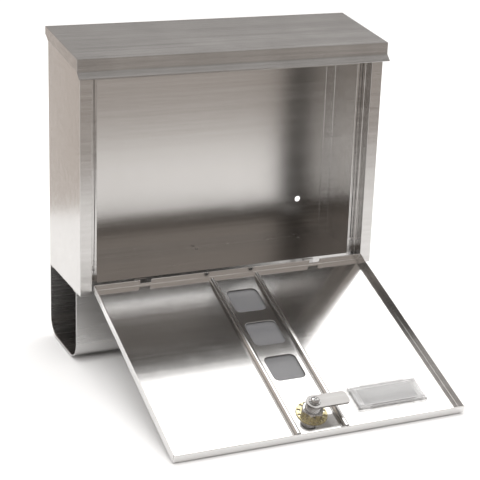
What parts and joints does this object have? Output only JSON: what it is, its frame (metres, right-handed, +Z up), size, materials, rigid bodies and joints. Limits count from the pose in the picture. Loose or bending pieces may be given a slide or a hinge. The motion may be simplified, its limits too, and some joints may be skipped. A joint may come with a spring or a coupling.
{
  "type": "wall mounted mailbox",
  "caption": "Stainless sheet wall mailbox with a fold-down locking door, view windows, a rain lid over the letter slot and an open newspaper holder below",
  "frame": {"origin": "Centre of the four wall holes, on the back panel's rear face that lies on the wall", "axes": "+X to the viewer's right when facing the mailbox, +Y into the wall, +Z up"},
  "size_m": [0.337, 0.3286, 0.3332],
  "materials": {
    "body_sheet": "folded stainless sheet, fine brushed grain running with the long side, soft handling marks",
    "inner_sheet": "the same sheet inside the box, duller and darker",
    "lid_sheet": "matt rolled stainless with faint clouding, bright along the folds",
    "door_sheet": "smooth half-mirror stainless with fine long brushing",
    "hinge_steel": "plain zinc-grey steel hinge parts",
    "rivet_steel": "bright set rivets and pins",
    "lock_chrome": "plated lock parts with rubbed edges",
    "cam_steel": "dull zinc-plated pressed steel",
    "washer_gold": "yellow zinc-plated toothed washer",
    "seal_black": "black foam sealing strip",
    "pane_clear": "clear acrylic with light dust",
    "plate_clear": "clear moulded plastic, slightly cloudy at its edges",
    "card_paper": "plain blank card"
  },
  "bodies": {
    "body": {"side_left": "body_sheet", "side_right": "body_sheet", "back_panel": "inner_sheet", "floor_panel": "inner_sheet", "header_rail": "inner_sheet", "frame_rivets": "rivet_steel", "newspaper_holder": "body_sheet", "holder_rivets": "rivet_steel", "lid_hinge_brackets": "hinge_steel", "door_hinge_tabs": "hinge_steel"},
    "lid": {"lid": "lid_sheet", "lid_hinge_leaves": "hinge_steel", "lid_hinge_pins": "rivet_steel"},
    "door": {"door_panel": "door_sheet", "door_hinge_straps": "hinge_steel", "door_hinge_pins": "rivet_steel", "window_seal": "seal_black", "window_pane": "pane_clear", "name_plate_holder": "plate_clear", "name_card": "card_paper", "name_card_slide": "plate_clear", "lock_housing": "lock_chrome", "lock_washer": "washer_gold", "lock_nut": "lock_chrome"},
    "lock": {"lock_plug": "lock_chrome", "lock_cam": "cam_steel", "cam_washer": "lock_chrome", "cam_screw": "lock_chrome"}
  },
  "joints": [
    {"name": "door_hinge", "type": "hinge", "parent": "body", "child": "door", "pos_m": [0, -0.1093, -0.136], "axis": [-1, 0, 0], "range_deg": [0, 110.3]},
    {"name": "lid_hinge", "type": "hinge", "parent": "body", "child": "lid", "pos_m": [0, -0.0065, 0.1205], "axis": [-1, 0, 0], "range_deg": [0, 80]},
    {"name": "lock_turn", "type": "hinge", "parent": "door", "child": "lock", "pos_m": [0, -0.29753, -0.19785], "axis": [0, 0.3469, -0.9379], "range_deg": [0, 90]}
  ]
}
